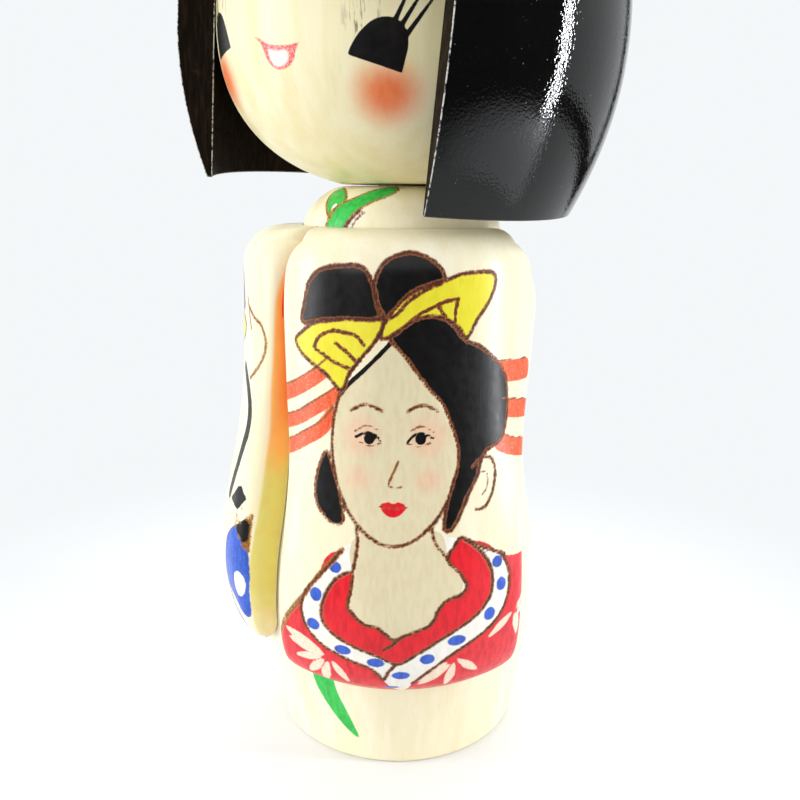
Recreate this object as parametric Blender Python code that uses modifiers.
"""Kokeshi doll: a turned wooden body with two glued-on sleeve panels, and a turned head under a
lacquered hair shell, which turns on a dowel in the neck.

Blender 4.5, metres, +Z up. The doll stands on Z = 0 with its axis on Z; its face looks along -Y,
so its left side is +X.
"""

import math

import bmesh
import bpy
from mathutils import Matrix, Vector

MM = 0.001
GAP = 0.3  # clearance between glued or touching pieces, mm
STEPS = 48  # facets round a turned piece
MERGE = 0.00001

# Body, heights and radii in mm.
FOOT_EDGE = 0.8  # rounding of the foot's lower edge
FOOT_POINTS = 4
BODY_OUTLINE = [  # (height, radius) of the turned side, from the foot up to the shoulder
    (0, 22.4), (8, 23.6), (16, 25.2), (23, 25.6), (34, 24.9),
    (45, 23.2), (56, 22.3), (66, 23.0), (77, 23.5),
]
SHOULDER = {"r": 15.5, "z": 77.0, "a": 8.0, "b": 11.3, "power": 2.0}
NECK = {"r": 9.6, "z": 90.2, "a": 7.3, "b": 6.8, "power": 1.7}
NECK_TOP = NECK["z"] + NECK["b"]
NECK_POINTS = 8
SHOULDER_POINTS = 12
SHOULDER_MEET = 0.3  # how far outside the neck's foot the shoulder's first point lies
SIDE_HEIGHTS = range(72, 2, -4)

# Dowel that joins head and body.
PEG_R = 4.0
PEG_DOWN = 13.0  # length below the neck's top
PEG_UP = 12.0  # length inside the head
PEG_CHAMFER = 0.6
PEG_SLACK = 0.2  # radial clearance in the neck's socket
PEG_SIDES = 32
SOCKET_CHAMFER = 0.4
HOLE_BELOW = 5.0  # how far the cutter for the head's hole reaches below the neck's top

# Sleeves.
SLEEVE_MIDDLE = 48.5  # degrees from the front to the panel's middle
SLEEVE_REAR = [  # (height, degrees from the front to the panel's rear wall)
    (18, 93), (36, 93), (58, 100), (70, 105), (91, 106),
]
SLEEVE_OFF = 4.0  # the outer arc's centre lies this far off the axis, towards the middle
SLEEVE_FILLET = 0.75  # edge rounding as a share of the panel's thickness
OFF_SHARE = 0.7  # share of the offset that counts towards that thickness at the edges
FILLET_LEAST = 0.2
FILLET_MOST = 0.9  # as a share of the full thickness
HEM = 18.3
HEM_ROUND = 2.2  # height over which the hem is rounded
HEM_POINTS = 3
HEM_RISE = 4.0  # how far the lower corners are rounded up
CORNER = 5.0  # width of those corners
RISE_ENDS = 45.0  # height where the rounding has faded out
SLEEVE_OUTLINE = [  # (height, radius) at the panel's middle, from the hem up
    (18.3, 28.0), (20.5, 30.4), (25, 32.0), (34, 32.9), (44, 31.6),
    (54, 29.5), (65, 28.0), (76, 27.5), (84, 27.3),
]
SLEEVE_TOP = {"r": 20.0, "z": 84.0, "a": 7.3, "b": 6.6, "power": 2.1}
SLEEVE_LEVELS = [20.5, 22.5, 25, 29, 34, 39, 44, 49, 54, 60, 66, 72, 78, 84]
SLEEVE_TOP_POINTS = 9
CREST_R = 18.6  # outer radius where the shoulder top ends against the neck
CREST_FLAT = 0.03  # the last section lies this far below the crest
GROOVE = [(18, 3.1), (40, 3.0), (56, 2.3), (66, 1.5), (78, 1.1), (91, 0.6)]  # (height, half width)
FILLET_POINTS = 5
ARC_POINTS = 12
SHARP = 40.0  # degrees, edges sharper than this stay sharp

# Head and hair, in a frame of their own round the head's centre.
HEAD_Z = 121.6  # height of the head's centre
HEAD_R = 29.9
HEAD_HALF = 25.4  # half height
HEAD_POWER = 2.4
HEAD_POINTS = 10  # from the widest place to the pole
HEAD_TURN = 12.5  # degrees, towards the doll's left
HEAD_TILT = 7.5  # degrees, towards the doll's left shoulder
HAIR_R = 36.0
HAIR_WIDEST = -3.0
HAIR_RIM = -25.8
HAIR_RIM_R = 31.1
HAIR_TOP = 37.0
HAIR_POWER = 2.2  # of the crown's superellipse
HAIR_DRAW_IN = 1.9  # power of the curve below the widest place
CROWN_POINTS = 11
DRAW_POINTS = 7
BORE_R = HEAD_R + GAP
BORE_TOP = 2.0  # the bore is straight up to here, then domed
BORE_HALF = HEAD_HALF + 2 * GAP  # height of the dome's top
BORE_POINTS = 9
FRINGE = 7.0
WINDOW_HALF = 46.0  # degrees, half the face window
RIM_EDGE = 0.25
CUT_BELOW = 8.0  # how far the window's cutter reaches below the rim
CUT_FAR = 60.0  # and how far out
SEAT_WIDE = 80.0  # size of the block that flattens the head's underside
SEAT_DEEP = 40.0

CREAM = (0.88, 0.80, 0.60, 1.0)
BLACK = (0.006, 0.005, 0.005, 1.0)
SATIN, BARE, GLOSS = 0.35, 0.6, 0.08  # roughness


def smooth(points, x):
    """Height of the smooth curve through points (x, y), by cubic Hermite with finite slopes."""
    i = max(0, min(len(points) - 2, sum(p[0] <= x for p in points) - 1))

    def slope(k):
        low, high = max(0, k - 1), min(len(points) - 1, k + 1)
        return (points[high][1] - points[low][1]) / (points[high][0] - points[low][0])

    (x0, y0), (x1, y1) = points[i], points[i + 1]
    h = x1 - x0
    t = max(0.0, min(1.0, (x - x0) / h))
    a = slope(i) * h
    b = slope(i + 1) * h
    return (
        y0 * (2 * t**3 - 3 * t**2 + 1)
        + a * (t**3 - 2 * t**2 + t)
        + y1 * (3 * t**2 - 2 * t**3)
        + b * (t**3 - t**2)
    )


def oval_radius(oval, z):
    """Radius of a superellipse shoulder at height z."""
    rise = max(0.0, min(1.0, (z - oval["z"]) / oval["b"]))
    return oval["r"] + oval["a"] * (1 - rise ** oval["power"]) ** (1 / oval["power"])


def oval_arc(oval, count):
    """Points (radius, height) along a superellipse, from its widest place up to its top."""
    found = []
    for i in range(count + 1):
        t = math.pi / 2 * i / count
        share = 2 / oval["power"]
        r = oval["r"] + oval["a"] * max(0.0, math.cos(t)) ** share
        found.append((r, oval["z"] + oval["b"] * max(0.0, math.sin(t)) ** share))
    return found


def body_radius(z):
    """Radius of the turned body at height z."""
    if z < SHOULDER["z"]:
        return smooth(BODY_OUTLINE, z)
    neck = oval_radius(NECK, z) if z > NECK["z"] else NECK["r"] + NECK["a"]
    if z < SHOULDER["z"] + SHOULDER["b"]:
        return max(neck, oval_radius(SHOULDER, z))
    return neck


def link(ob, where, colour, roughness):
    where.objects.link(ob)
    mat = bpy.data.materials.new(ob.name)
    mat.use_nodes = True
    shader = mat.node_tree.nodes["Principled BSDF"]
    shader.inputs["Base Color"].default_value = colour
    shader.inputs["Roughness"].default_value = roughness
    ob.data.materials.append(mat)
    return ob


def turned(name, outline, steps=STEPS):
    """A Screw of an outline of (radius, height) in mm that starts on the axis at the top, runs
    down the outside and ends on the axis."""
    mesh = bpy.data.meshes.new(name)
    verts = [(r * MM, 0, z * MM) for r, z in outline]
    mesh.from_pydata(verts, [(i, i + 1) for i in range(len(verts) - 1)], [])
    ob = bpy.data.objects.new(name, mesh)
    screw = ob.modifiers.new("turn", "SCREW")
    screw.steps = screw.render_steps = steps
    screw.use_merge_vertices = True
    screw.merge_threshold = MERGE
    screw.use_smooth_shade = True
    return ob


def cut(ob, cutter, cutters):
    """Takes a cutter away from an object."""
    cutters.objects.link(cutter)
    cutter.hide_render = True
    cutter.display_type = "WIRE"
    boolean = ob.modifiers.new(cutter.name, "BOOLEAN")
    boolean.operation = "DIFFERENCE"
    boolean.solver = "EXACT"
    boolean.object = cutter


def make_body():
    """Foot, waist, shoulders and neck dome in one turning, with the peg's blind socket."""
    socket = PEG_R + PEG_SLACK
    bottom = NECK_TOP - PEG_DOWN - GAP
    outline = [
        (0, bottom), (socket, bottom), (socket, NECK_TOP - SOCKET_CHAMFER),
        (socket + SOCKET_CHAMFER, NECK_TOP),
    ]
    outline += reversed(oval_arc(NECK, NECK_POINTS))
    foot_of_neck = NECK["r"] + NECK["a"]
    share = (foot_of_neck - SHOULDER["r"]) / SHOULDER["a"]
    meet = SHOULDER["z"] + SHOULDER["b"] * math.sqrt(1 - share**2)
    outline.append((foot_of_neck, meet))
    shoulder = reversed(oval_arc(SHOULDER, SHOULDER_POINTS))
    outline += [p for p in shoulder if p[0] > foot_of_neck + SHOULDER_MEET]
    outline += [(body_radius(z), z) for z in SIDE_HEIGHTS]
    for i in range(FOOT_POINTS):
        t = math.pi / 2 * i / (FOOT_POINTS - 1)
        lift = FOOT_EDGE * (1 - math.sin(t))
        outline.append((body_radius(lift) - FOOT_EDGE * (1 - math.cos(t)), lift))
    outline.append((0, 0))
    return turned("body_core", outline)


def make_peg():
    low = NECK_TOP - PEG_DOWN
    high = NECK_TOP + PEG_UP
    outline = [
        (0, high), (PEG_R - PEG_CHAMFER, high), (PEG_R, high - PEG_CHAMFER),
        (PEG_R, low + PEG_CHAMFER), (PEG_R - PEG_CHAMFER, low), (0, low),
    ]
    return turned("neck_peg", outline, PEG_SIDES)


def sleeve_radius(z):
    """Outer radius at the panel's middle at height z."""
    return smooth(SLEEVE_OUTLINE, z) if z < SLEEVE_TOP["z"] else oval_radius(SLEEVE_TOP, z)


def fillet(centre, start, end):
    """Points on a circle round centre, from start to end the short way."""
    a = start - centre
    b = end - centre
    turn = math.atan2(a.x * b.y - a.y * b.x, a.dot(b))
    steps = range(FILLET_POINTS)
    return [centre + Matrix.Rotation(turn * i / (FILLET_POINTS - 1), 2) @ a for i in steps]


def sleeve_section(level):
    """The panel cut level at a height: (outer points, inner points) as (sideways, forward) in mm,
    both from the front groove round to the rear wall."""
    inner = body_radius(level - GAP) + GAP
    middle = math.radians(SLEEVE_MIDDLE)
    rear = math.radians(smooth(SLEEVE_REAR, level))
    hub = Vector((math.sin(middle), math.cos(middle))) * SLEEVE_OFF
    arc = sleeve_radius(level) - SLEEVE_OFF
    half = smooth(GROOVE, level)
    f = max(FILLET_LEAST, SLEEVE_FILLET * (arc + SLEEVE_OFF * OFF_SHARE - inner))
    f = min(f, (arc + SLEEVE_OFF - inner) * FILLET_MOST)

    # The front edge, between the groove's wall and the outer arc.
    side = half + f
    front = Vector((side, hub.y + math.sqrt((arc - f) ** 2 - (side - hub.x) ** 2)))
    to_arc = hub + (front - hub).normalized() * arc
    outer = fillet(front, Vector((half, front.y)), to_arc)

    # The rear edge, between the rear wall, which points at the axis, and the outer arc.
    wall = Vector((math.sin(rear), math.cos(rear)))
    inward = Vector((-math.cos(rear), math.sin(rear))) * f
    b = wall.dot(inward - hub)
    c = (inward - hub).length_squared - (arc - f) ** 2
    along = -b + math.sqrt(b * b - c)
    back = wall * along + inward
    from_arc = hub + (back - hub).normalized() * arc
    a0 = to_arc - hub
    a1 = from_arc - hub
    sweep = math.atan2(a0.x * a1.y - a0.y * a1.x, a0.dot(a1))
    for i in range(1, ARC_POINTS):
        outer.append(hub + Matrix.Rotation(sweep * i / ARC_POINTS, 2) @ a0)
    outer += fillet(back, from_arc, wall * along)

    first = math.asin(half / inner)
    count = len(outer) - 1
    angles = [first + (rear - first) * i / count for i in range(count + 1)]
    return outer, [Vector((math.sin(t), math.cos(t))) * inner for t in angles]


def sleeve_levels():
    """Nominal heights of the panel's sections, close together where it is rounded."""
    hem = [HEM + HEM_ROUND * (i / HEM_POINTS) ** 1.5 for i in range(HEM_POINTS)]
    top = [p[1] for p in oval_arc(SLEEVE_TOP, SLEEVE_TOP_POINTS) if p[0] > CREST_R][1:-1]
    crest = SLEEVE_TOP["z"] + SLEEVE_TOP["b"]
    return hem + SLEEVE_LEVELS + top + [crest - CREST_FLAT]


def make_sleeve(name, side):
    """A curved panel lofted through level sections. side is 1 for the doll's left, -1 right."""
    bm = bmesh.new()
    rows = []
    for level in sleeve_levels():
        outer, inner = sleeve_section(level)
        fade = max(0.0, (RISE_ENDS - level) / (RISE_ENDS - HEM)) ** 2
        ends = (outer[0], outer[-1])
        row = []
        for i, p in enumerate(outer):
            near = min((p - e).length for e in ends)
            reach = 1 - min(1.0, near / CORNER)
            z = level + HEM_RISE * fade * (1 - math.sqrt(1 - reach**2))
            q = inner[i]
            if 0 < i < len(outer) - 1:
                q = q.normalized() * (body_radius(z - GAP) + GAP)
            row.append([bm.verts.new((side * v.x * MM, -v.y * MM, z * MM)) for v in (p, q)])
        rows.append(row)
    for low, high in zip(rows, rows[1:]):
        for i in range(len(low) - 1):
            bm.faces.new((low[i][0], low[i + 1][0], high[i + 1][0], high[i][0]))
            bm.faces.new((low[i + 1][1], low[i][1], high[i][1], high[i + 1][1]))
        bm.faces.new((low[0][1], low[0][0], high[0][0], high[0][1]))
        bm.faces.new((low[-1][0], low[-1][1], high[-1][1], high[-1][0]))
    for row, flip in ((rows[0], True), (rows[-1], False)):
        for a, b in zip(row, row[1:]):
            ring = (a[0], b[0], b[1], a[1])
            bm.faces.new(reversed(ring) if flip else ring)
    bmesh.ops.recalc_face_normals(bm, faces=bm.faces)
    mesh = bpy.data.meshes.new(name)
    bm.to_mesh(mesh)
    bm.free()
    mesh.shade_smooth()
    mesh.set_sharp_from_angle(angle=math.radians(SHARP))
    return bpy.data.objects.new(name, mesh)


def head_oval(radius, half):
    return {"r": 0.0, "z": 0.0, "a": radius, "b": half, "power": HEAD_POWER}


def make_head(cutters):
    """The ball in the head's frame; its level seat and upright bore are cut in the doll's."""
    side = oval_arc(head_oval(HEAD_R, HEAD_HALF), HEAD_POINTS)
    outline = list(reversed(side)) + [(r, -z) for r, z in side[1:]]
    outline[0] = (0, HEAD_HALF)
    outline[-1] = (0, -HEAD_HALF)
    head = turned("head", outline)

    level = NECK_TOP + GAP - SEAT_DEEP / 2
    bpy.ops.mesh.primitive_cube_add(size=1, location=(0, 0, level * MM))
    seat = bpy.context.object
    seat.name = "seat_cutter"
    seat.scale = (SEAT_WIDE * MM, SEAT_WIDE * MM, SEAT_DEEP * MM)
    high = NECK_TOP + PEG_UP + GAP
    low = NECK_TOP - HOLE_BELOW
    hole = turned("peg_hole_cutter", [
        (0, high), (PEG_R + GAP, high), (PEG_R + GAP, low), (0, low),
    ], PEG_SIDES)
    for holder in list(seat.users_collection):
        holder.objects.unlink(seat)
    for cutter in (seat, hole):
        cut(head, cutter, cutters)
    return head


def make_hair(cutters, place):
    """A turned shell with a straight bore, less the wedge in front of the face."""
    crown = {"r": 0.0, "z": HAIR_WIDEST, "a": HAIR_R, "b": HAIR_TOP - HAIR_WIDEST,
             "power": HAIR_POWER}
    outline = list(reversed(oval_arc(crown, CROWN_POINTS)))
    outline[0] = (0, HAIR_TOP)
    for i in range(1, DRAW_POINTS + 1):
        # Below its widest place the shell draws in along a power curve.
        t = i / DRAW_POINTS
        z = HAIR_WIDEST + (HAIR_RIM + RIM_EDGE - HAIR_WIDEST) * t
        outline.append((HAIR_R - (HAIR_R - HAIR_RIM_R) * t**HAIR_DRAW_IN, z))
    outline += [(HAIR_RIM_R - RIM_EDGE, HAIR_RIM), (BORE_R, HAIR_RIM)]
    dome = oval_arc(head_oval(BORE_R, BORE_HALF), BORE_POINTS)
    outline += [(BORE_R, BORE_TOP)] + [p for p in dome if p[1] > BORE_TOP + 1]
    outline[-1] = (0, BORE_HALF)
    hair = turned("hair_cap", outline)

    half = math.radians(WINDOW_HALF)
    aside = CUT_FAR * math.sin(half)
    ahead = CUT_FAR * math.cos(half)
    corners = [(0, 0), (-aside, -ahead), (0, -CUT_FAR), (aside, -ahead)]
    bm = bmesh.new()
    floor = [bm.verts.new((x * MM, y * MM, (HAIR_RIM - CUT_BELOW) * MM)) for x, y in corners]
    face = bm.faces.new(floor)
    raised = bmesh.ops.extrude_face_region(bm, geom=[face])["geom"]
    lift = (FRINGE - HAIR_RIM + CUT_BELOW) * MM
    bmesh.ops.translate(bm, verts=[v for v in raised if isinstance(v, bmesh.types.BMVert)],
                        vec=(0, 0, lift))
    bmesh.ops.recalc_face_normals(bm, faces=bm.faces)
    mesh = bpy.data.meshes.new("window_cutter")
    bm.to_mesh(mesh)
    bm.free()
    window = bpy.data.objects.new("window_cutter", mesh)
    window.matrix_world = place
    cut(hair, window, cutters)
    return hair


def main():
    for ob in list(bpy.data.objects):
        bpy.data.objects.remove(ob, do_unlink=True)
    doll = bpy.data.collections.new("kokeshi_doll")
    cutters = bpy.data.collections.new("cutters")
    for col in (doll, cutters):
        bpy.context.scene.collection.children.link(col)

    link(make_body(), doll, CREAM, SATIN)
    link(make_sleeve("sleeve_left", 1), doll, CREAM, SATIN)
    link(make_sleeve("sleeve_right", -1), doll, CREAM, SATIN)
    link(make_peg(), doll, CREAM, BARE)

    place = (
        Matrix.Translation((0, 0, HEAD_Z * MM))
        @ Matrix.Rotation(math.radians(HEAD_TILT), 4, "Y")
        @ Matrix.Rotation(math.radians(HEAD_TURN), 4, "Z")
    )
    head = link(make_head(cutters), doll, CREAM, SATIN)
    hair = link(make_hair(cutters, place), doll, BLACK, GLOSS)
    head.matrix_world = hair.matrix_world = place


main()
